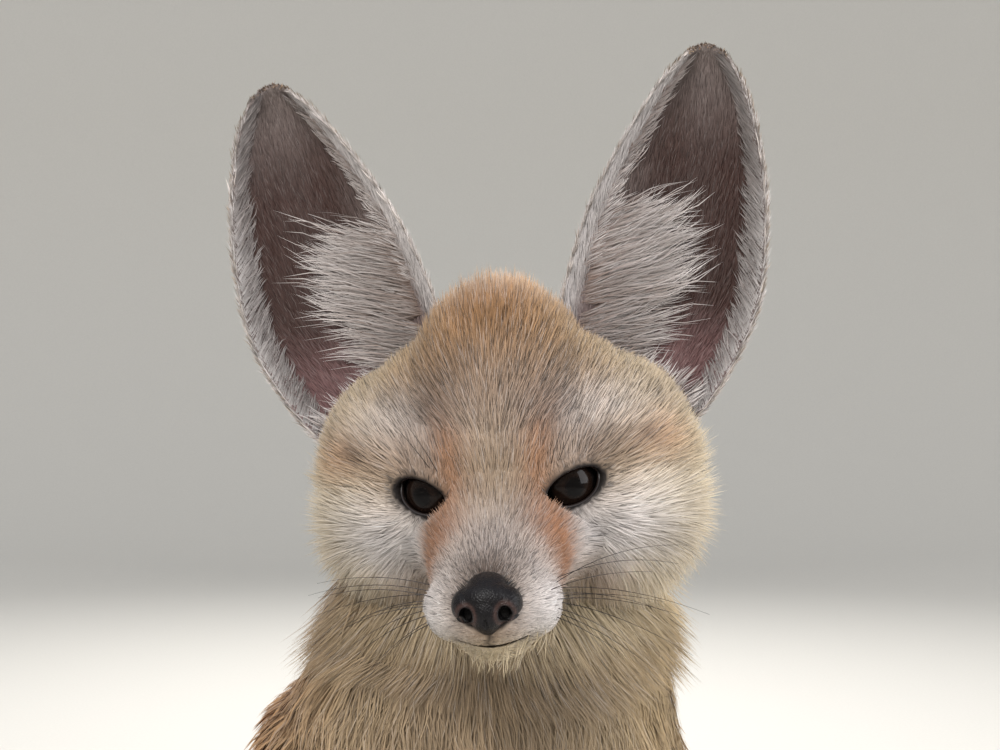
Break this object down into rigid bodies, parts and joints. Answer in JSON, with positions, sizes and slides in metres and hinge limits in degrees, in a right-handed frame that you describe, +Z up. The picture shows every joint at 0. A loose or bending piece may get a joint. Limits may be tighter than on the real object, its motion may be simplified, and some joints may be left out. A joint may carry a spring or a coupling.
{
  "type": "fennec fox model",
  "caption": "Life-size still model of a small desert fox sitting upright, head turned, with very large cupped ears, pale ruff and a bushy tail curled on the floor.",
  "frame": {"origin": "on the floor, under the middle of the model's bounding box", "axes": "+Z up; the fox's body faces -Y and its left side is towards +X; its head is turned to its right, towards -X"},
  "size_m": [0.2088, 0.2738, 0.3596],
  "materials": {
    "sandy_fur": "short dense sandy-orange fur with grey-brown ticking",
    "pale_fur": "long soft cream fur in flat locks",
    "dark_fur": "bushy brown-black fur",
    "nose_skin": "moist pebbled dark skin",
    "eye": "wet, glossy, very dark brown"
  },
  "bodies": {
    "root": {"head": "sandy_fur", "lower_jaw": "pale_fur", "nose": "nose_skin", "eye_left": "eye", "eye_right": "eye", "ear_left": "sandy_fur", "ear_right": "sandy_fur", "neck": "pale_fur", "chest": "pale_fur", "torso": "sandy_fur", "hips": "sandy_fur", "foreleg_left": "sandy_fur", "foreleg_right": "sandy_fur", "forepaw_left": "pale_fur", "forepaw_right": "pale_fur", "thigh_left": "sandy_fur", "thigh_right": "sandy_fur", "hindfoot_left": "pale_fur", "hindfoot_right": "pale_fur", "tail_base": "sandy_fur", "tail_middle": "sandy_fur", "tail_tip": "dark_fur"}
  },
  "joints": []
}
